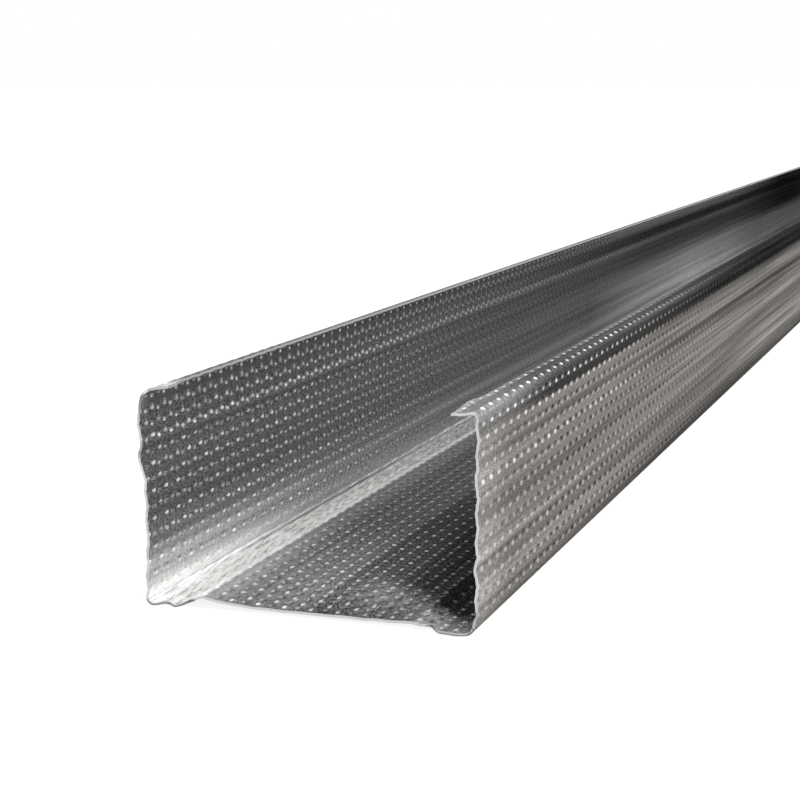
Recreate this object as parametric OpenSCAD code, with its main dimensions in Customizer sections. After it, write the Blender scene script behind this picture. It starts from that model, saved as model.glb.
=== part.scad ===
// Dimpled C-stud for drywall partitions, lying on its web with the flanges up.
// One strip of zinc-coated steel is roll-formed into lips, flanges, grooves and
// a web with a raised panel. X runs across the web, Y along the stud, Z up.
// The origin is the middle of the footprint, on the surface that the web lies on.

/* [Stock] */
// Length that the stud is cut to
stud_length = 2500; // [300:50:6000]
// Thickness of the steel strip
sheet_t = 0.6; // [0.4:0.05:1]

/* [Section] */
// Width across the web, outside
web_w = 75; // [50:1:150]
// Height of the taller side, outside, to the edge of its lip
tall_flange_h = 49; // [44:0.5:70]
// Height of the shorter side, outside, to the edge of its lip
short_flange_h = 46.5; // [44:0.5:70]
// Depth of each turned-in lip, outside, where it is turned square
lip_d = 5.5; // [4.5:0.5:12]
// Angle that the taller side's lip is turned through, in degrees
tall_lip_angle = 77; // [75:1:90]
// Angle that the shorter side's lip is turned through, in degrees
short_lip_angle = 90; // [75:1:90]

/* [Bends] */
// Inside radius of the two corners at the web
web_corner_r = 1.2; // [0.6:0.1:2.5]
// Inside radius of the two corners at the lips
lip_corner_r = 1.6; // [0.6:0.1:2.5]

/* [Web panel] */
// Height that the middle panel stands above the foot strips
panel_rise = 1.8; // [0.6:0.1:3]
// Width of each foot strip that the web stands on, with its corner
foot_w = 8; // [6:0.5:10]
// Slope of the step between a foot strip and the panel, in degrees
step_angle = 24; // [15:1:45]
// Inside radius of the bends of that step
step_r = 1.5; // [0.8:0.1:3]

/* [Flange grooves] */
// Depth of each guide groove
groove_depth = 0.3; // [0.15:0.05:0.5]
// Slope of each guide groove's two sides, in degrees
groove_angle = 8; // [6:1:30]
// Inside radius of the bends of each guide groove
groove_r = 2; // [1:0.5:4]
// Distance of the upper groove's middle from the top of its flange
groove_from_top = 13.5; // [10:0.5:17]
// Distance of the lower groove's middle from the underside of the web
groove_from_base = 13.5; // [10:0.5:17]

/* [Hidden] */
$fn = 96;
quarter = 90;
// The middle line of the strip, half a thickness inside its faces
half_t = sheet_t / 2;
// Each straight reaches this far back into the bend before it, inside the sheet,
// so that no hairline is left between the two
lap = 0.1;
web_bend_r = web_corner_r + half_t;
lip_bend_r = lip_corner_r + half_t;
lip_flat = lip_d - half_t - lip_bend_r;
step_bend_r = step_r + half_t;
groove_bend_r = groove_r + half_t;
// Each step is two arcs with a straight ramp between them, or less turned arcs alone
// where those already make up the rise
step_turn = min(step_angle, acos(1 - panel_rise / (2 * step_bend_r)));
ramp_len = (panel_rise - 2 * step_bend_r * (1 - cos(step_turn))) / sin(step_turn);
step_w = 2 * step_bend_r * sin(step_turn) + ramp_len * cos(step_turn);
// Each side of a groove is shaped as such a step is
groove_turn = min(groove_angle, acos(1 - groove_depth / (2 * groove_bend_r)));
groove_ramp_len =
    (groove_depth - 2 * groove_bend_r * (1 - cos(groove_turn))) / sin(groove_turn);
groove_w = 2 * (2 * groove_bend_r * sin(groove_turn) + groove_ramp_len * cos(groove_turn));

// A run is [length of its straight, turn of the bend that ends it, radius of that bend].
// Turns are in degrees, towards the inside of the channel when positive.
function run_length(run) = run[0];
function run_turn(run) = run[1];
function run_radius(run) = run[2];

// A guide groove pressed into a flange, after a straight of the given length
function groove_runs(before) = [
    [before, groove_turn, groove_bend_r],
    [groove_ramp_len, -2 * groove_turn, groove_bend_r],
    [groove_ramp_len, groove_turn, groove_bend_r],
];

// Half of the web: half of the panel, the step down to the foot strip, and that strip
web_half_runs = [
    [web_w / 2 - foot_w - step_w, -step_turn, step_bend_r],
    [ramp_len, step_turn, step_bend_r],
    [foot_w - half_t - web_bend_r, quarter, web_bend_r],
];

// How much higher a lip's edge is than the start of the bend that turns the lip in
function lip_rise(lip_angle) =
    (lip_bend_r + half_t) * sin(lip_angle) + lip_flat * cos(lip_angle);

// A flange with its two grooves, from the web corner up to the end of its lip
function flange_runs(flange_h, lip_angle) = concat(
    groove_runs(groove_from_base - groove_w / 2 - half_t - web_bend_r),
    groove_runs(flange_h - groove_from_base - groove_from_top - groove_w),
    [
        [groove_from_top - groove_w / 2 - lip_rise(lip_angle), lip_angle, lip_bend_r],
        [lip_flat, 0, 0],
    ]
);

// Everything below draws the section in a plane of its own, x across and y up.
// Each piece is drawn where the one before it ends, heading along x.
module bend_2d(turn, radius) {
    reach = 2 * (radius + half_t);
    translate([0, sign(turn) * radius])
        intersection() {
            difference() {
                circle(r = radius + half_t);
                circle(r = radius - half_t);
            }
            translate([0, -reach]) square([reach, 2 * reach]);
            rotate(turn) translate([-reach, -reach]) square([reach, 2 * reach]);
        }
}

module after_bend(turn, radius)
    translate([0, sign(turn) * radius])
    rotate(turn)
    translate([0, -sign(turn) * radius])
    children();

// Lays the runs one after the other, each straight followed by its bend
module strip_2d(runs, i = 0) {
    if (i < len(runs)) {
        straight = run_length(runs[i]);
        turn = run_turn(runs[i]);
        radius = run_radius(runs[i]);
        if (straight > 0)
            translate([0, -half_t]) square([straight, sheet_t]);
        translate([-lap, -half_t / 2]) square([2 * lap, half_t]);
        translate([straight, 0]) {
            if (turn != 0)
                bend_2d(turn, radius);
            after_bend(turn, radius)
                strip_2d(runs, i + 1);
        }
    }
}

// One side of the section, from the middle of the web to the end of the lip
module side_2d(flange_h, lip_angle)
    translate([0, panel_rise + half_t])
    strip_2d(concat(web_half_runs, flange_runs(flange_h, lip_angle)));

module section_2d() {
    side_2d(short_flange_h, short_lip_angle);
    mirror([1, 0]) side_2d(tall_flange_h, tall_lip_angle);
}

module stud()
    color("#a7a9a6")
    translate([0, stud_length / 2, 0])
    rotate([quarter, 0, 0])
    linear_extrude(height = stud_length)
    section_2d();

stud();
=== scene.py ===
"""A dimpled C-stud of zinc-coated steel strip, roll-formed and cut to length, lying on its web.

The stud is made the way the rolling mill makes it: a flat strip is cut out, dimples are embossed
into it, and the strip is bent up run by run into web, flanges, grooves and lips.
"""

import math

import bmesh
import bpy
import numpy as np
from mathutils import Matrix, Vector


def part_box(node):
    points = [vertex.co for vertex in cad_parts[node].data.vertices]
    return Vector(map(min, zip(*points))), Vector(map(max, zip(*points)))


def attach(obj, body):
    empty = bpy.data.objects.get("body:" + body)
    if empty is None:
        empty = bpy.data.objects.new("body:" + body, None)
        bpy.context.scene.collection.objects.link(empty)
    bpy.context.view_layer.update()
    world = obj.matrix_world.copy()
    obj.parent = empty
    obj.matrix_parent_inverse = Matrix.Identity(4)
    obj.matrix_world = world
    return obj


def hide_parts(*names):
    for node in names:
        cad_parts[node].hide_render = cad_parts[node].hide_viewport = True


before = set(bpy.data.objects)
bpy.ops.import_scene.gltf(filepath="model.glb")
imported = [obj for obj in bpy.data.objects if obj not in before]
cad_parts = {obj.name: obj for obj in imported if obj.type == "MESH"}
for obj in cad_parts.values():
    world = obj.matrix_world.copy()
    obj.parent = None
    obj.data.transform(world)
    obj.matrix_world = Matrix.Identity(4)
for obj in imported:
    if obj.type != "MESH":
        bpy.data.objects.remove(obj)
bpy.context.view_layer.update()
low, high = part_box("stud")

MM = 0.001
SEED = 7
QUARTER = math.pi / 2
ROUNDING = 1e-9

# The section, repeated from the part's source
WEB_W = high.x - low.x
LENGTH = high.y - low.y
TALL_FLANGE_H = high.z - low.z
SHORT_FLANGE_H = 46.5 * MM
SHEET_T = 0.6 * MM
HALF_T = SHEET_T / 2
LIP_D = 5.5 * MM
TALL_LIP_ANGLE = math.radians(77)
SHORT_LIP_ANGLE = math.radians(90)
WEB_CORNER_R = 1.2 * MM
LIP_CORNER_R = 1.6 * MM
PANEL_RISE = 1.8 * MM
FOOT_W = 8 * MM
STEP_ANGLE = math.radians(24)
STEP_R = 1.5 * MM
GROOVE_DEPTH = 0.3 * MM
GROOVE_ANGLE = math.radians(8)
GROOVE_R = 2 * MM
GROOVE_FROM_TOP = 13.5 * MM
GROOVE_FROM_BASE = 13.5 * MM

# The dimples: rows along the stud, every second row shifted by half a pitch
DIMPLE_PITCH = 6.13 * MM
ROW_GAP = 3.08 * MM
DIMPLE_H = 0.26 * MM
DIMPLE_SHARPNESS = 3.4
# The share of them that the bending rollers flatten in the two corners at the web
CORNER_FLATTENING = 0.92

# The mesh: how far apart its columns are on straights and in bends, and its rows, which are close
# together where the dimples are real geometry and move apart where they have faded to bump alone
STRAIGHT_STEP = ROW_GAP / 4
BEND_STEP = 0.3 * MM
FINE_STEP = DIMPLE_PITCH / 8
STEP_GROWTH = 1.6
WIDEST_STEP = 120 * MM
CARVED_LEN = 70 * MM
FADE_LEN = 12 * MM

# The near end is snipped by hand: a tongue of the tall flange stays longer than the rest,
# the foot strips are torn, and the sheet is pressed out of line just behind the cut
TONGUE_LEN = 4.15 * MM
TONGUE_FOOT_Z = 26.3 * MM
TONGUE_RISE = 6.5 * MM
TONGUE_BELOW_TOP = 0.6 * MM
TONGUE_CORNER_R = 5.3 * MM
TONGUE_DIP = 0.7 * MM
TONGUE_DIP_PITCH = 8.7 * MM
TALL_EDGE_AHEAD = 1.3 * MM
SHORT_EDGE_BACK = 1.8 * MM
SHORT_LIP_AHEAD = 0.9 * MM
RAGGED = 0.16 * MM
RAGGED_PITCH = 2.6 * MM
RAGGED_SPAN = 200 * MM
SHORT_EDGE_STEADY = 0.7
CUT_FADE = 60 * MM
# Places across the web and how far the torn edge stands ahead of the cut there, in mm
FOOT_TEARS = (
    (-36.5, 1.3), (-34.0, 1.9), (-32.5, 0.6), (-30.0, 1.9), (-28.3, -1.3), (-26.5, 0.0),
    (23.0, 0.0), (26.0, 0.7), (27.5, -0.4), (30.3, 3.2), (34.3, 3.4), (36.8, 1.4),
)
PANEL_SAG = 1.4 * MM
PANEL_SAG_X = 5 * MM
PANEL_SAG_W = 30 * MM
PANEL_SAG_LEN = 26 * MM
TALL_LIP_PRESSED = 0.5 * MM
TALL_LIP_PRESSED_LEN = 9 * MM
SHORT_LIP_HUMP = 0.6 * MM
NUDGE = 0.1 * MM

# The tones below are factors on this plain zinc. Then come how bright its crowns are, which is
# rubbed zinc and a painted highlight, how metallic the zinc and the crowns are, how rough, how much
# light the zinc's edge-on reflections keep, and how warm the painted warm reflection on its
# outside is
ZINC = 0.25
CROWN_GLINT = 0.55
METAL = 0.6
CROWN_METAL = 0.15
ROUGHNESS = 0.33
EDGE_ON = 0.3
WARM_RED = 0.05
WARM_BLUE = 0.05
# How bright the bare steel is where the sheet was snipped and where the strip was slit, how rough
# it is, and how much of that brightness its lower corner loses at the underside of the web, which
# is painted shade
SNIPPED = 0.65
SLIT = 0.4
EDGE_ROUGHNESS = 0.5
UNDERSIDE_PAINTED_SHADE = 0.8
# The painted glint in the middle of a crown and on the lower side of a pit: how high on the
# dimple's wave it starts and is full, how far the pit's is shifted to its lower side, and the
# powers that make it longer along the strip than across it
CROWN_GLINT_SPOT = (0.62, 0.92)
PIT_GLINT_SPOT = (0.55, 0.9)
PIT_GLINT_SHIFT = 0.4 * MM
SPOT_POWER_ALONG = 0.45
SPOT_POWER_ACROSS = 3
# Patches on the zinc: width, length, how far they brighten or darken it, detail. They are its
# grain, the smears that the bending rollers left where they flattened the dimples, and streaks.
# Last comes the span of the noise from the darkest of each to the brightest.
GRAIN = (0.45 * MM, 1.1 * MM, 0.55, 2)
SMEAR = (0.7 * MM, 9 * MM, 0.32, 2)
SMEAR_SKEW = 0.12
STREAKS = (
    (1.3 * MM, 180 * MM, 0.22, 1),
    (5 * MM, 500 * MM, 0.2, 1),
)
PATCH_SPAN = (0.3, 0.7)
# Patches where the crowns are rubbed brighter and carry more painted highlight than elsewhere, and
# the pits' painted glint and shade show less: width, length and detail, the span of the noise, and
# what is left of a crown and of a pit over that span
UNEVEN = (3 * MM, 9 * MM, 1)
UNEVEN_SPAN = (0.35, 0.65)
CROWN_LEFT = (0.5, 1.15)
PIT_LEFT = (1.15, 0.6)
# Streaks up a flange, partly the rollers' own and partly painted reflections, with painted shade
# along the bottom bend outside: height and half width in mm, and how bright the zinc is there near
# the cut end and further along
OUTER_STREAKS_AND_REFLECTIONS = (
    (0.0, 3.2, 0.8, 0.2),
    (8.8, 2.2, 1.25, 1.25),
    (12.5, 1.6, 0.9, 0.75),
    (15.8, 1.2, 1.35, 0.8),
    (19.5, 1.6, 1.1, 0.95),
    (24.0, 1.0, 0.75, 1.25),
    (32.2, 1.1, 1.15, 0.45),
    (34.3, 0.9, 1.1, 1.5),
    (36.0, 1.0, 0.8, 1.15),
    (40.0, 1.0, 1.1, 0.6),
    (42.3, 0.9, 0.7, 0.65),
)
INNER_STREAKS_AND_REFLECTIONS = (
    (1.5, 0.8, 1.0, 1.6),
    (5.6, 0.9, 1.0, 1.8),
    (9.5, 1.6, 1.35, 1.4),
    (13.0, 4.0, 1.0, 1.6),
    (21.0, 4.0, 1.0, 1.7),
    (32.0, 5.0, 1.05, 0.6),
    (40.3, 2.4, 1.0, 0.25),
    (45.5, 2.0, 1.6, 2.0),
)
# How bright the zinc is on the outside of the tall flange and the web, lighter than plain zinc as
# painted light, and what its tone, crowns, pits and streaks, with their painted light and shade,
# come close to towards the far end: by which share, and from which place on and over which
# stretch, in mm
OUTSIDE_LIT_TONE = 1.7
FAR_TONE = 1.5
FAR_RUB_AND_GLINT = 0.6
FAR_PIT_GLINT_AND_SHADE = -0.35
FAR_STREAK = 0.4
EVENED = 0.85
EVENED_FROM = 1150
EVENED_OVER = 350

# Camera, as a position from the middle of the plain cut at the near end, and two angles
CAMERA_FROM_CUT = Vector((145.1, -368.0, 113.4)) * MM
CAMERA_YAW = math.radians(18.67)
CAMERA_PITCH = math.radians(9.51)
CAMERA_LENS = 86.1
SENSOR = 36.0

# The room: how bright it is in reflections above the white horizon and as fill light, how high
# that horizon reaches, and the floor's grey, what lifts it to white, and half its width in metres
ROOM_LEVEL = 0.3
FILL_LEVEL = 0.45
HORIZON = (0.03, 0.15)
FLOOR_GREY = 0.35
FLOOR_LIFT = 0.84
FLOOR_SIZE = 60


# ---------------------------------------------------------------- the section

def ramp_between(rise, turn, radius):
    """Length and width of a ramp of two arcs with a straight between them, for its rise."""
    straight = (rise - 2 * radius * (1 - math.cos(turn))) / math.sin(turn)
    return straight, 2 * radius * math.sin(turn) + straight * math.cos(turn)


GROOVE_BEND_R = GROOVE_R + HALF_T
STEP_BEND_R = STEP_R + HALF_T
STEP_RAMP, STEP_W = ramp_between(PANEL_RISE, STEP_ANGLE, STEP_BEND_R)
GROOVE_RAMP, GROOVE_HALF_W = ramp_between(GROOVE_DEPTH, GROOVE_ANGLE, GROOVE_BEND_R)

# Across the web, from its middle: where the panel ends, where the corner bend turns up into a
# flange, and where the outside of the short flange starts, with the foot and corner under it
PANEL_EDGE_X = WEB_W / 2 - FOOT_W - STEP_W
FLANGE_X = WEB_W / 2 - 1.9 * MM
OUTSIDE_X = WEB_W / 2 - 7 * MM
# Heights: the top of the underside's edges, the foot of a flange's inside, the top of the web with
# its corners, and where the tall flange's top bend starts
UNDERSIDE_Z = 1.5 * MM
WALL_FOOT_Z = 1 * MM
WEB_Z = 2.4 * MM
TALL_TOP_Z = TALL_FLANGE_H - 3 * MM


def groove_runs(before):
    """A guide groove after a straight: a ramp in, an arc and a ramp back in line."""
    return [
        (before, GROOVE_ANGLE, GROOVE_BEND_R),
        (GROOVE_RAMP, -2 * GROOVE_ANGLE, GROOVE_BEND_R),
        (GROOVE_RAMP, GROOVE_ANGLE, GROOVE_BEND_R),
    ]


def side_runs(flange_h, lip_angle):
    """Runs (straight, turn, bend radius) from the middle of the web to the lip's edge."""
    web_bend_r = WEB_CORNER_R + HALF_T
    lip_bend_r = LIP_CORNER_R + HALF_T
    lip_flat = LIP_D - HALF_T - lip_bend_r
    lip_rise = (lip_bend_r + HALF_T) * math.sin(lip_angle) + lip_flat * math.cos(lip_angle)
    return [
        (PANEL_EDGE_X, -STEP_ANGLE, STEP_BEND_R),
        (STEP_RAMP, STEP_ANGLE, STEP_BEND_R),
        (FOOT_W - HALF_T - web_bend_r, QUARTER, web_bend_r),
        *groove_runs(GROOVE_FROM_BASE - GROOVE_HALF_W - HALF_T - web_bend_r),
        *groove_runs(flange_h - GROOVE_FROM_BASE - GROOVE_FROM_TOP - 2 * GROOVE_HALF_W),
        (GROOVE_FROM_TOP - GROOVE_HALF_W - lip_rise, lip_angle, lip_bend_r),
        (lip_flat, 0, 0),
    ]


class Side:
    """One half of the section as a curve of its developed length, from the web's middle outwards."""

    def __init__(self, flange_h, lip_angle):
        self.pieces = []
        at, heading, done = np.array([0.0, PANEL_RISE + HALF_T]), 0.0, 0.0
        for straight, turn, radius in side_runs(flange_h, lip_angle):
            if straight > 0:
                self.pieces.append((done, straight, at, heading, 0.0))
                at = at + straight * np.array([math.cos(heading), math.sin(heading)])
                done += straight
            if turn:
                arc = abs(turn) * radius
                self.pieces.append((done, arc, at, heading, turn / arc))
                at, heading = self.along(at, heading, turn / arc, arc)
                done += arc

    @staticmethod
    def along(at, heading, curvature, s):
        """The point and heading after s along a straight or an arc of that curvature."""
        s = np.asarray(s, float)
        if curvature == 0:
            x = at[0] + s * math.cos(heading)
            z = at[1] + s * math.sin(heading)
            return np.stack([x, z], -1), heading + 0 * s
        turned = heading + curvature * s
        x = at[0] + (np.sin(turned) - math.sin(heading)) / curvature
        z = at[1] - (np.cos(turned) - math.cos(heading)) / curvature
        return np.stack([x, z], -1), turned

    def at(self, s):
        """Points and headings at developed distances s from the middle of the web."""
        points, headings = np.zeros((len(s), 2)), np.zeros(len(s))
        for start, length, at, heading, curvature in self.pieces:
            here = (s >= start - ROUNDING) & (s <= start + length + ROUNDING)
            if here.any():
                p, h = self.along(at, heading, curvature, s[here] - start)
                points[here], headings[here] = p, h
        return points, headings

    def columns(self):
        """Developed distances for the mesh's columns, closer together in the bends."""
        out = [0.0]
        for start, length, _, _, curvature in self.pieces:
            n = max(1, round(length / (BEND_STEP if curvature else STRAIGHT_STEP)))
            out += [start + length * (i + 1) / n for i in range(n)]
        return out


SHORT_SIDE = Side(SHORT_FLANGE_H, SHORT_LIP_ANGLE)
TALL_SIDE = Side(TALL_FLANGE_H, TALL_LIP_ANGLE)


def section_at(across):
    """Middle line of the sheet: x, z and the inward normal, at developed places across the strip."""
    short = across >= 0
    points, headings = SHORT_SIDE.at(np.abs(across))
    tall_points, tall_headings = TALL_SIDE.at(np.abs(across))
    points[~short], headings[~short] = tall_points[~short], tall_headings[~short]
    normal = np.stack([-np.sin(headings), np.cos(headings)], -1)
    mirror = np.where(short, 1.0, -1.0)
    points[:, 0] *= mirror
    normal[:, 0] *= mirror
    return points, normal


# ---------------------------------------------------------------- soft steps and bands
# What is measured is in metres, as all of the script is. Where a step or band lies is in mm.

def ease(x):
    """A smooth step from 0 to 1."""
    x = np.clip(x, 0, 1)
    return x * x * (3 - 2 * x)


def rising(x, start, reach):
    """0 up to a start and 1 beyond a reach after it."""
    return ease((x - start * MM) / (reach * MM))


def fading(x, start, reach):
    """1 up to a start and 0 beyond a reach after it."""
    return 1 - rising(x, start, reach)


def band(x, middle, half_width):
    """1 in the middle of a soft band and 0 well outside it."""
    return np.exp(-(((x - middle * MM) / (half_width * MM)) ** 2))


# ---------------------------------------------------------------- the strip's relief and its cut

def dimples(along, across):
    """Embossed relief, from -1 in the pits to 1 on the crowns, seen from the inside face."""
    wave = np.cos(2 * math.pi * along / DIMPLE_PITCH) * np.cos(math.pi * across / ROW_GAP)
    return np.sign(wave) * np.abs(wave) ** DIMPLE_SHARPNESS


def relief(points):
    """How much of the dimples the bending rollers left: little in the two corners at the web."""
    x, z = points.T
    return 1 - CORNER_FLATTENING * rising(np.abs(x) - WEB_W / 2, -3.4, 1.5) * fading(z, 1.2, 1.8)


def ahead_of_cut(points, across):
    """How far the snipped near end stands ahead of its plain cut, across the strip."""
    x, z = points.T
    top = TALL_FLANGE_H - TONGUE_BELOW_TOP
    over = np.clip((z - top + TONGUE_CORNER_R) / TONGUE_CORNER_R, 0, 1)
    corner = TONGUE_CORNER_R * (1 - np.sqrt(1 - over ** 2))
    dip = TONGUE_DIP * np.sin(math.pi * (z - TONGUE_FOOT_Z - TONGUE_RISE) / TONGUE_DIP_PITCH) ** 2
    tongue = ease((z - TONGUE_FOOT_Z) / TONGUE_RISE) * (TONGUE_LEN - TALL_EDGE_AHEAD - dip)
    tall = TALL_EDGE_AHEAD + tongue - corner
    over_lip = rising(WEB_W / 2 - x, 1.5, 3.5)
    short = -SHORT_EDGE_BACK + (SHORT_LIP_AHEAD + SHORT_EDGE_BACK) * over_lip
    places, tears = np.array(FOOT_TEARS).T * MM
    foot = np.interp(x, places, tears)
    upright = rising(z, 1.2, 2.5) * (np.abs(x) > WEB_W / 2 - FOOT_W)
    ahead = foot * (1 - upright) + np.where(across < 0, tall, short) * upright
    rng = np.random.default_rng(SEED)
    count = int(RAGGED_SPAN / RAGGED_PITCH) + 2
    ragged = np.interp(across, (np.arange(count) - count / 2) * RAGGED_PITCH, rng.normal(size=count))
    steady = 1 - SHORT_EDGE_STEADY * upright * (across > 0)
    return np.minimum(ahead + RAGGED * steady * ragged, TONGUE_LEN)


def pressed(points, across, behind):
    """How far the sheet is pressed up or down just behind the cut."""
    x, z = points.T
    high_up = z > SHORT_FLANGE_H / 2
    on_lip = rising(WEB_W / 2 - np.abs(x), 1.5, 4) * high_up
    on_panel = np.clip((z - HALF_T) / PANEL_RISE, 0, 1) * (np.abs(x) < WEB_W / 2 - FOOT_W) * ~high_up
    tall_lip = -TALL_LIP_PRESSED * on_lip * (across < 0) * (1 - ease(behind / TALL_LIP_PRESSED_LEN))
    short_lip = SHORT_LIP_HUMP * on_lip * (across > 0) * band(behind, 13, 7)
    sag = np.clip(1 - ((x - PANEL_SAG_X) / PANEL_SAG_W) ** 4, 0, 1) * on_panel
    return tall_lip + short_lip - PANEL_SAG * sag * (1 - ease(behind / PANEL_SAG_LEN))


def mesh_rows():
    """Distances from the near end for the mesh's rows."""
    out, d, step = [0.0], 0.0, FINE_STEP
    while d < LENGTH:
        if d > CARVED_LEN + FADE_LEN:
            step = min(step * STEP_GROWTH, WIDEST_STEP)
        d += step
        out.append(d)
    out[-1] = LENGTH
    if out[-1] - out[-2] < step / 3:
        out.pop(-2)
    return out


# ---------------------------------------------------------------- what the rollers left on the zinc, and painted light and shade

def evened(values, along, plain):
    """Values that come close to a plain one towards the far end."""
    return values + EVENED * rising(along, EVENED_FROM, EVENED_OVER) * (plain - values)


def streaks_and_reflections(z, further, bands):
    """How bright the rollers' streaks and the painted reflections leave the zinc at a height up a
    flange.
    """
    tone = np.ones_like(z)
    for height, half_width, near, far in bands:
        level = near + (far - near) * further
        tone = tone * (1 + (level - 1) * band(z, height, half_width))
    return tone


def outer_streaks_and_painted_light(z, along, from_slit):
    """The outside of the short flange and its lip in painted light: darker along the top away from
    the cut end, with painted highlights along the lip and a painted glow by the cut end and far
    along.
    """
    tone = streaks_and_reflections(z, rising(along, 60, 240), OUTER_STREAKS_AND_REFLECTIONS)
    top = rising(z, 39.9, 1.2)
    top_painted_shade = 0.1 + 0.36 * fading(along, 150, 250) + 0.75 * fading(along, 0, 75)
    further = rising(along, 0, 70)
    lip_edge_highlight = (1.2 + 1.2 * further) * band(from_slit, 0.3, 0.7)
    lip_bend_highlight = 0.3 * further * band(from_slit, 3.9, 1.1)
    painted_light_by_the_cut = 0.4 * fading(along, 0, 30) * (1 - top)
    far_painted_glow = 0.9 * band(z, 12.5, 2.5) * rising(along, 300, 180)
    return tone * (1 + top * (top_painted_shade - 1)) * (1 + lip_edge_highlight + lip_bend_highlight + painted_light_by_the_cut + far_painted_glow)


def wall_streaks_and_painted_light(z, along):
    """The inside of the tall flange, with a painted glow at its foot by the cut end and again far
    along, and painted shade higher up further along.
    """
    tone = streaks_and_reflections(z, rising(along, 150, 450), INNER_STREAKS_AND_REFLECTIONS)
    low_painted_glow = 1.6 * fading(z, 1, 6)
    high_painted_glow = 0.9 * fading(z, 4, 16)
    painted_glow_all_along = 0.45 * fading(z, 1, 5)
    painted_glow = fading(along, 0, 120) * (low_painted_glow + high_painted_glow) + painted_glow_all_along
    painted_dusk = 0.45 * band(along, 400, 80) * band(z, 16, 9)
    far_painted_glow = 1.4 * band(along, 680, 150) * band(z, 12, 13)
    painted_night = 0.85 * rising(along, 780, 250) * rising(z, 18, 10)
    return tone * (1 + painted_glow) * (1 - painted_dusk + far_painted_glow) * (1 - painted_night)


def foot_painted_light(x, along):
    """The foot strip under the tall flange and the ramp beside it, in painted light strongest by the
    cut end, with painted shade in the corner and a painted highlight on the crest.
    """
    from_edge = x + PANEL_EDGE_X
    tone = 1.8 + 2.5 * np.exp(-along / (160 * MM))
    # Painted shade in the corner at the foot of the tall flange
    corner = 0.65 * fading(x + WEB_W / 2, 1.5, 1.5) * rising(along, 0, 60)
    crest_highlight = 3 * band(from_edge, -1, 1.2)
    return tone * (1 - corner) * fading(from_edge, -0.5, 1) + crest_highlight


def panel_painted_light(x, along):
    """The web's panel in painted light, brighter by the cut end, and darker towards the short flange
    in its painted shadow.
    """
    tone = 1.35 - 0.7 * rising(along, 15, 75) - 0.1 * fading(along, 0, 10)
    painted_light_by_the_cut = 0.3 * rising(x, -10, 20) * fading(along, 0, 20)
    lit_towards_tall = 0.85 * fading(x, -25, 9)
    middle = 0.3 * band(x, 3, 4.5)
    painted_shadow = 0.72 * rising(x, -5, 26) * rising(along + x, 29, 16) * (1 - 0.5 * rising(along, 90, 60))
    bright_patch = 0.6 * band(x, 26, 5) * fading(along, 3, 10)
    return tone * (1 - painted_light_by_the_cut) * (1 + lit_towards_tall - middle) * (1 - painted_shadow) + bright_patch


def shaded_side_tone(x, z, along):
    """The foot strip under the short flange, dark in painted shadow but for a brighter patch by the
    cut end, and its inside.
    """
    bright_patch = 1.7 * fading(along, 5, 10) * (1 - 0.5 * rising(x, 28, 6))
    return 0.28 + bright_patch + (OUTSIDE_LIT_TONE - 0.5) * rising(z, 3, 14)


def tone_and_painted_light(points, face, along, from_slit):
    """The zinc's tone round the section, from the rollers' streaks and from painted light and shade,
    and its painted warm reflection.
    """
    x, z = points.T
    inside = face > 0
    low_down = z < WEB_Z
    panel = low_down & (np.abs(x) < PANEL_EDGE_X)
    tall_foot = low_down & (x <= -PANEL_EDGE_X) & (x > -FLANGE_X)
    tall_wall = (x <= -FLANGE_X) | (~low_down & (x < 0))
    outside_right = ~inside & (x > OUTSIDE_X)
    tall_top = ~inside & (x < 0) & (z > TALL_TOP_Z)
    web = np.where(panel, panel_painted_light(x, along), 1.0)
    web = np.where((panel | tall_foot) & (x < 0), np.maximum(web, foot_painted_light(x, along)), web)
    # Painted highlight on the tall flange's top outside by the cut end; the other outsides lighter as
    # painted light
    tone = np.select(
        [outside_right, tall_top, ~inside, x >= PANEL_EDGE_X, tall_wall],
        [
            outer_streaks_and_painted_light(z, along, from_slit), 1 + 3 * fading(along, 0, 14), OUTSIDE_LIT_TONE,
            shaded_side_tone(x, z, along), wall_streaks_and_painted_light(z, along),
        ],
        web,
    )
    return evened(tone, along, FAR_TONE), outside_right * fading(z, 40.5, 2)


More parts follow.
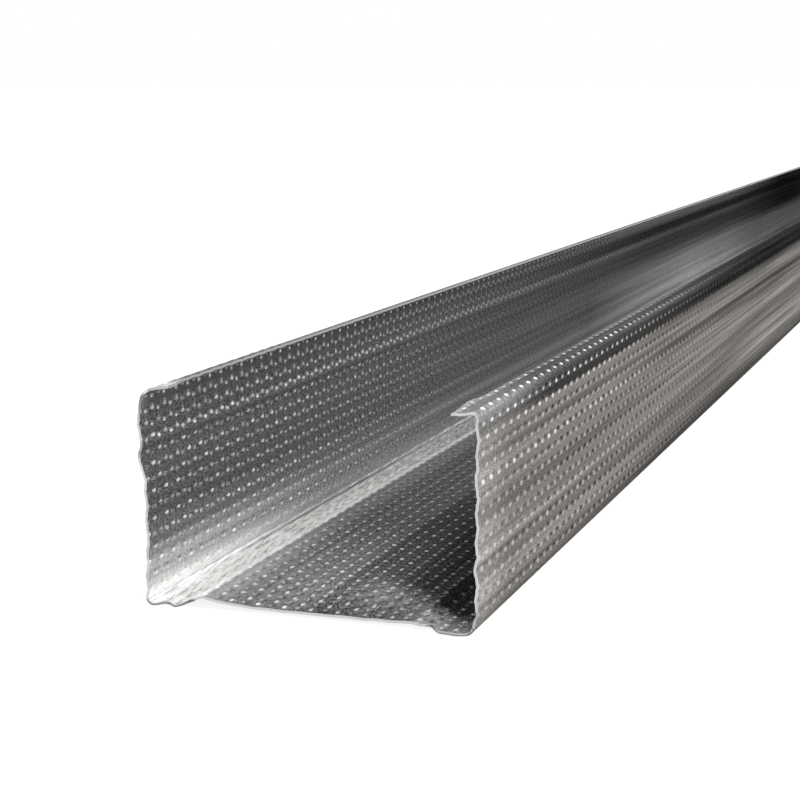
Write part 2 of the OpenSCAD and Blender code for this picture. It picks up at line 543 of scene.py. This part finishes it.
def surface(points, face, along, tone, from_slit):
    """How much rubbed zinc and painted highlight the crowns get and how they swell, which pits get a
    painted glint and which get painted shade, and how grainy, smeared and streaked the zinc looks.
    """
    x, z = points.T
    inside = face > 0
    wall = inside & (x < -FLANGE_X) & (z > WALL_FOOT_Z)
    foot = inside & (x < -PANEL_EDGE_X) & ~wall
    outside_right = ~inside & (x > OUTSIDE_X)
    lip = outside_right * rising(z, 42, 1.5)
    places = [wall, foot, outside_right]
    fade = 1 - 0.88 * rising(along, 60, 220)

    # Crowns: rubbed zinc and a painted highlight, fading further along
    wall_rub_and_glint = fade * (0.25 + 0.75 * rising(z, 3, 4))
    best_glint_rows = 0.45 * band(z, 31.4, 1.3) + 0.4 * band(z, 40.3, 1.2)
    outer_rub_and_glint = fade * (0.45 + best_glint_rows + lip) * (1 - 0.9 * band(from_slit, 0, 1.2))
    web_rub_and_glint = 0.7 * (1 - 0.7 * rising(along, 20, 160)) * (1 - 0.6 * rising(x, 3, 18))
    web_rub_and_glint = web_rub_and_glint * (1 + 0.6 * fading(along, 0, 14))
    rub_and_glint = evened(np.select(places, [wall_rub_and_glint, 0.1, outer_rub_and_glint], web_rub_and_glint), along, FAR_RUB_AND_GLINT)

    # Pits: a painted glint on the tall flange's inside and painted shade elsewhere
    glint = fade * rising(z, 4, 4)
    pit_painted_shade = 0.12 + 0.4 * rising(along, 0, 80) - 0.35 * rising(along, 150, 250)
    pit_glint_and_shade = evened(np.select(places, [glint, -0.3, -pit_painted_shade], -0.3), along, FAR_PIT_GLINT_AND_SHADE)

    streak = np.where(wall, 0.45, 0.6 + 0.6 * rising(along, 60, 300))
    left = relief(points)
    return {
        "relief": left,
        "rub_and_glint": rub_and_glint * left,
        "swell": 1 + 0.2 * outside_right * (1 - lip),
        "pit_glint_and_shade": pit_glint_and_shade * left,
        "grain": np.where(outside_right, 0.45, 1 / np.maximum(tone, 1) ** 1.5),
        "smear": foot + 0.25 * wall * fading(z, 2, 4),
        "streak": evened(streak, along, FAR_STREAK),
    }


# ---------------------------------------------------------------- the stud

def flat_strip(columns, rows):
    """The strip before it is embossed and bent, as a grid with the two faces of the sheet."""
    bm = bmesh.new()
    bmesh.ops.create_grid(bm, x_segments=len(columns) - 1, y_segments=len(rows) - 1, size=1)
    bmesh.ops.solidify(bm, geom=bm.faces[:], thickness=SHEET_T)
    bmesh.ops.recalc_face_normals(bm, faces=bm.faces[:])
    mesh = bpy.data.meshes.new("stud_sheet")
    bm.to_mesh(mesh)
    bm.free()
    return mesh


def grid_places(mesh, columns, rows):
    """Each vertex's column and row in the grid, and 1 on the inside face or -1 on the outside."""
    flat = np.zeros(len(mesh.vertices) * 3, np.float32)
    mesh.vertices.foreach_get("co", flat)
    flat = flat.reshape(-1, 3).astype(float)
    column = np.rint((flat[:, 0] + 1) / 2 * (len(columns) - 1)).astype(int)
    row = np.rint((flat[:, 1] + 1) / 2 * (len(rows) - 1)).astype(int)
    return column, row, np.where(flat[:, 2] > flat[:, 2].mean(), 1.0, -1.0)


def finish_edges(mesh, column, face, smooth, last_column):
    """Gives the sheet's edges materials and flat normals of their own, and its faces smooth ones."""
    count = len(mesh.polygons)
    corners = np.zeros(count * 4, np.int32)
    mesh.loops.foreach_get("vertex_index", corners)
    sides = face[corners].reshape(count, 4)
    # The edges all round are the faces that join the two faces of the sheet
    edge = sides.max(1) > sides.min(1)
    places = column[corners].reshape(count, 4)
    slit = edge & ((places.max(1) == 0) | (places.min(1) == last_column))
    mesh.polygons.foreach_set("material_index", edge.astype(np.int32) + slit.astype(np.int32))
    flat_normals = np.zeros(count * 3, np.float32)
    mesh.polygons.foreach_get("normal", flat_normals)
    shading = smooth[corners].reshape(count, 4, 3)
    shading[edge] = flat_normals.reshape(count, 1, 3)[edge]
    mesh.normals_split_custom_set(shading.reshape(-1, 3).tolist())


def form_stud(sheet_material, snipped_material, slit_material):
    """Embosses the strip, snips its near end, bends it up and says how each place is finished."""
    tall_columns = [-c for c in reversed(TALL_SIDE.columns()[1:])]
    columns = np.array(tall_columns + SHORT_SIDE.columns())
    rows = np.array(mesh_rows())
    mesh = flat_strip(columns, rows)
    column, row, face = grid_places(mesh, columns, rows)

    across, behind = columns[column], rows[row]
    points, normal = section_at(across)
    back = TONGUE_LEN - ahead_of_cut(points, across)
    along = behind + back * (1 - ease(behind / CUT_FADE))
    carved = 1 - ease((along - CARVED_LEN) / FADE_LEN)
    lift = DIMPLE_H * relief(points) * (1 + carved * dimples(along, across)) + face * HALF_T
    press = pressed(points, across, behind)
    press_slope = (pressed(points, across, behind + NUDGE) - press) / NUDGE
    place = np.stack(
        [
            points[:, 0] + normal[:, 0] * lift,
            low.y + along,
            points[:, 1] + normal[:, 1] * lift + press,
        ],
        -1,
    )
    mesh.vertices.foreach_set("co", place.astype(np.float32).ravel())

    from_slit = np.where(across < 0, across - columns[0], columns[-1] - across)
    tone, warmth = tone_and_painted_light(points, face, behind, from_slit)
    underside = (face < 0) & (points[:, 1] < UNDERSIDE_Z)
    attributes = surface(points, face, behind, tone, from_slit)
    attributes.update(
        along=along, across=across, face=face, tone=tone, warmth=warmth,
        # Painted shade on the lower corner of the edges under the web
        edge=1 - UNDERSIDE_PAINTED_SHADE * underside,
    )
    for name, values in attributes.items():
        attribute = mesh.attributes.new(name, "FLOAT", "POINT")
        attribute.data.foreach_set("value", values.astype(np.float32))
    for material in (sheet_material, snipped_material, slit_material):
        mesh.materials.append(material)
    mesh.shade_smooth()
    mesh.update()
    # The faces are shaded as the plain section is, because the bump shades every dimple
    smooth = np.stack([normal[:, 0], -press_slope * normal[:, 1], normal[:, 1]], -1)
    finish_edges(mesh, column, face, smooth * face[:, None], len(columns) - 1)

    stud = bpy.data.objects.new("stud_sheet", mesh)
    bpy.context.scene.collection.objects.link(stud)
    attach(stud, "root")
    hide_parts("stud")
    return stud


# ---------------------------------------------------------------- materials

class Graph:
    """The nodes of a material or of the world, put together value by value."""

    def __init__(self, tree):
        self.nodes, self.links = tree.nodes, tree.links

    def feed(self, value, socket):
        if isinstance(value, (int, float)):
            socket.default_value = value
        else:
            self.links.new(value, socket)

    def attribute(self, name):
        node = self.nodes.new("ShaderNodeAttribute")
        node.attribute_name = name
        return node.outputs["Fac"]

    def math(self, operation, *values):
        node = self.nodes.new("ShaderNodeMath")
        node.operation = operation
        for value, socket in zip(values, node.inputs):
            self.feed(value, socket)
        return node.outputs[0]

    def product(self, value, *factors):
        for factor in factors:
            value = self.math("MULTIPLY", value, factor)
        return value

    def scaled(self, value, factor, plus):
        return self.math("MULTIPLY_ADD", value, factor, plus)

    def power(self, value, power):
        return self.math("POWER", self.math("ABSOLUTE", value), power)

    def smooth_range(self, value, from_span, to_span):
        """A value moved from one span to another, with soft ends."""
        node = self.nodes.new("ShaderNodeMapRange")
        node.interpolation_type = "SMOOTHSTEP"
        node.inputs["From Min"].default_value, node.inputs["From Max"].default_value = from_span
        node.inputs["To Min"].default_value, node.inputs["To Max"].default_value = to_span
        self.links.new(value, node.inputs["Value"])
        return node.outputs[0]

    def combined(self, kind, **values):
        """A vector or a colour from its named parts."""
        node = self.nodes.new(kind)
        for name, value in values.items():
            self.feed(value, node.inputs[name])
        return node.outputs[0]

    def seen_rays(self):
        """1 for the rays that see the background: from the camera, in metal and through glass."""
        path = self.nodes.new("ShaderNodeLightPath")
        seen = self.math("MAXIMUM", path.outputs["Is Camera Ray"], path.outputs["Is Glossy Ray"])
        return self.math("MAXIMUM", seen, path.outputs["Is Transmission Ray"])


def new_material(name):
    material = bpy.data.materials.new(name)
    material.use_nodes = True
    return material, Graph(material.node_tree), material.node_tree.nodes["Principled BSDF"]


def cosine_of(graph, name, period, shift=0.0):
    place = graph.math("SUBTRACT", graph.attribute(name), shift)
    return graph.math("COSINE", graph.product(place, 2 * math.pi / period))


def dimple_height(graph, wave):
    """The same relief as dimples(), in metres, out of the face that is shaded."""
    size = graph.power(wave, DIMPLE_SHARPNESS)
    return graph.product(size, graph.math("SIGN", wave), graph.attribute("relief"), DIMPLE_H)


def dimple_spots(graph, along, across, span):
    """The middles of the crowns and pits, longer along the strip than across it."""
    spots = graph.product(
        graph.power(along, SPOT_POWER_ALONG),
        graph.power(across, SPOT_POWER_ACROSS),
        graph.attribute("swell"),
    )
    return graph.smooth_range(spots, span, (0, 1))


def strip_noise(graph, width, length, detail, skew=0.0):
    """Noise in patches of a width across the strip and a length along it, or at a skew to it.

    Each face of the sheet has its own.
    """
    along = graph.attribute("along")
    across = graph.scaled(along, skew, graph.attribute("across"))
    where = graph.combined(
        "ShaderNodeCombineXYZ",
        X=graph.product(across, 1 / width),
        Y=graph.product(along, 1 / length),
        Z=graph.product(graph.attribute("face"), SEED),
    )
    noise = graph.nodes.new("ShaderNodeTexNoise")
    noise.inputs["Scale"].default_value = 1.0
    noise.inputs["Detail"].default_value = detail
    graph.links.new(where, noise.inputs["Vector"])
    return noise.outputs["Fac"]


def zinc_sheet():
    """Zinc with rubbed crowns and painted glints on crowns and pits, grain and streaks, painted light
    and shade in its tone, and a bump that shades every dimple.
    """
    material, graph, shader = new_material("zinc_sheet")
    along = cosine_of(graph, "along", DIMPLE_PITCH)
    across = cosine_of(graph, "across", 2 * ROW_GAP)
    wave = graph.product(along, across, graph.attribute("face"))
    bump = graph.nodes.new("ShaderNodeBump")
    bump.inputs["Distance"].default_value = 1.0
    graph.links.new(dimple_height(graph, wave), bump.inputs["Height"])
    graph.links.new(bump.outputs["Normal"], shader.inputs["Normal"])

    # Crowns rubbed bright by the rollers and lit with a painted highlight, some rows and some crowns
    # more than others
    uneven = strip_noise(graph, *UNEVEN)
    crown = graph.product(
        dimple_spots(graph, along, across, CROWN_GLINT_SPOT),
        graph.math("GREATER_THAN", wave, 0),
        graph.attribute("rub_and_glint"),
        graph.smooth_range(uneven, UNEVEN_SPAN, CROWN_LEFT),
    )

    # Pits, which get a painted glint on their lower side on the tall flange's inside and painted
    # shade elsewhere
    lower_side = cosine_of(graph, "across", 2 * ROW_GAP, PIT_GLINT_SHIFT)
    pit = graph.product(
        dimple_spots(graph, along, lower_side, PIT_GLINT_SPOT),
        graph.math("LESS_THAN", wave, 0),
        graph.smooth_range(uneven, UNEVEN_SPAN, PIT_LEFT),
    )
    tone = graph.product(graph.attribute("tone"), graph.scaled(pit, graph.attribute("pit_glint_and_shade"), 1))

    # The zinc between them, darker and brighter in its grain and in the rollers' streaks
    marks = [("streak", 0.0, *mark) for mark in STREAKS]
    marks += [("grain", 0.0, *GRAIN), ("smear", SMEAR_SKEW, *SMEAR)]
    for name, skew, width, length, spread, detail in marks:
        patches = strip_noise(graph, width, length, detail, skew)
        patches = graph.smooth_range(patches, PATCH_SPAN, (-spread, spread))
        tone = graph.product(tone, graph.scaled(patches, graph.attribute(name), 1))
    level = graph.scaled(crown, CROWN_GLINT, graph.product(tone, ZINC))
    # The painted warm reflection on the outside of the short flange
    warm = graph.attribute("warmth")
    color = graph.combined(
        "ShaderNodeCombineColor",
        Red=graph.product(level, graph.scaled(warm, WARM_RED, 1)),
        Green=level,
        Blue=graph.product(level, graph.scaled(warm, -WARM_BLUE, 1)),
    )
    graph.links.new(color, shader.inputs["Base Color"])

    metal = graph.scaled(crown, CROWN_METAL - METAL, METAL)
    graph.links.new(metal, shader.inputs["Metallic"])
    edge_on = graph.math("MINIMUM", graph.product(tone, EDGE_ON), 1)
    graph.links.new(edge_on, shader.inputs["Specular Tint"])
    shader.inputs["Roughness"].default_value = ROUGHNESS
    shader.inputs["Specular IOR Level"].default_value = 0.0
    return material


def bare_steel(name, level):
    """The sheet's edges, bright where it is snipped and duller where it was slit, with painted shade
    along their lower corner under the web.
    """
    material, graph, shader = new_material(name)
    graph.links.new(graph.product(graph.attribute("edge"), level), shader.inputs["Base Color"])
    shader.inputs["Metallic"].default_value = 1.0
    shader.inputs["Roughness"].default_value = EDGE_ROUGHNESS
    return material


# ---------------------------------------------------------------- stage

def make_floor():
    bm = bmesh.new()
    bmesh.ops.create_grid(bm, x_segments=1, y_segments=1, size=FLOOR_SIZE)
    mesh = bpy.data.meshes.new("floor")
    bm.to_mesh(mesh)
    bm.free()
    floor = bpy.data.objects.new("floor", mesh)
    bpy.context.scene.collection.objects.link(floor)
    material, graph, shader = new_material("pale_floor")
    shader.inputs["Base Color"].default_value = (FLOOR_GREY, FLOOR_GREY, FLOOR_GREY, 1)
    shader.inputs["Roughness"].default_value = 0.9
    shader.inputs["Specular IOR Level"].default_value = 0.1
    shader.inputs["Emission Color"].default_value = (1, 1, 1, 1)
    lift = graph.product(graph.seen_rays(), FLOOR_LIFT)
    graph.links.new(lift, shader.inputs["Emission Strength"])
    mesh.materials.append(material)


def make_world():
    """A dim room that is white to the camera, and white near the horizon in reflections."""
    world = bpy.data.worlds.new("studio")
    world.use_nodes = True
    bpy.context.scene.world = world
    graph = Graph(world.node_tree)
    background = graph.nodes["Background"]
    path = graph.nodes.new("ShaderNodeLightPath")
    where = graph.nodes.new("ShaderNodeTexCoord")
    split = graph.nodes.new("ShaderNodeSeparateXYZ")
    graph.links.new(where.outputs["Generated"], split.inputs[0])
    seen = graph.seen_rays()
    horizon = graph.smooth_range(split.outputs["Z"], HORIZON, (1, 0))
    white = graph.math("MAXIMUM", graph.product(seen, horizon), path.outputs["Is Camera Ray"])
    room = graph.scaled(seen, ROOM_LEVEL - FILL_LEVEL, FILL_LEVEL)
    strength = graph.scaled(white, graph.math("SUBTRACT", 1, room), room)
    background.inputs["Color"].default_value = (1, 1, 1, 1)
    graph.links.new(strength, background.inputs["Strength"])


def hang_light(name, data, place, to_light):
    """Puts a light at its place, turned by the direction from what it lights to the light."""
    light = bpy.data.objects.new(name, data)
    light.rotation_mode = "QUATERNION"
    light.rotation_quaternion = to_light.to_track_quat("Z", "Y")
    light.location = place
    bpy.context.scene.collection.objects.link(light)


def sun(name, azimuth, elevation, spread, power):
    """A large far softbox: azimuth from the far end of the stud towards its short flange."""
    data = bpy.data.lights.new(name, "SUN")
    data.angle = math.radians(spread)
    data.energy = power
    a, e = math.radians(azimuth), math.radians(elevation)
    source = Vector((math.sin(a) * math.cos(e), math.cos(a) * math.cos(e), math.sin(e)))
    hang_light(name, data, source * 3, source)


def softbox(name, place, target, size, power, tint):
    """A square softbox, its place and target given from the middle of the near end."""
    data = bpy.data.lights.new(name, "AREA")
    data.size = size
    data.energy = power
    data.color = tint
    near_end = Vector((0, low.y, 0))
    hang_light(name, data, near_end + Vector(place), Vector(place) - Vector(target))


def make_lights():
    sun("window", azimuth=24, elevation=27, spread=50, power=0.9)
    sun("top_back", azimuth=-22, elevation=46, spread=30, power=0.4)
    softbox(
        "key", place=(0.34, 0.1, 0.55), target=(-0.03, 0.03, 0),
        size=0.35, power=3.2, tint=(1.0, 0.98, 0.95),
    )


def make_camera():
    data = bpy.data.cameras.new("camera")
    data.lens, data.sensor_width = CAMERA_LENS, SENSOR
    data.clip_start = 0.01
    camera = bpy.data.objects.new("camera", data)
    plain_cut = Vector((0, low.y + TONGUE_LEN, 0))
    camera.location = plain_cut + CAMERA_FROM_CUT
    camera.rotation_euler = (QUARTER - CAMERA_PITCH, 0, CAMERA_YAW)
    bpy.context.scene.collection.objects.link(camera)
    bpy.context.scene.camera = camera


bpy.context.scene.view_settings.view_transform = "Standard"
make_camera()
make_lights()
make_world()
make_floor()
form_stud(zinc_sheet(), bare_steel("snipped_edge", SNIPPED), bare_steel("slit_edge", SLIT))
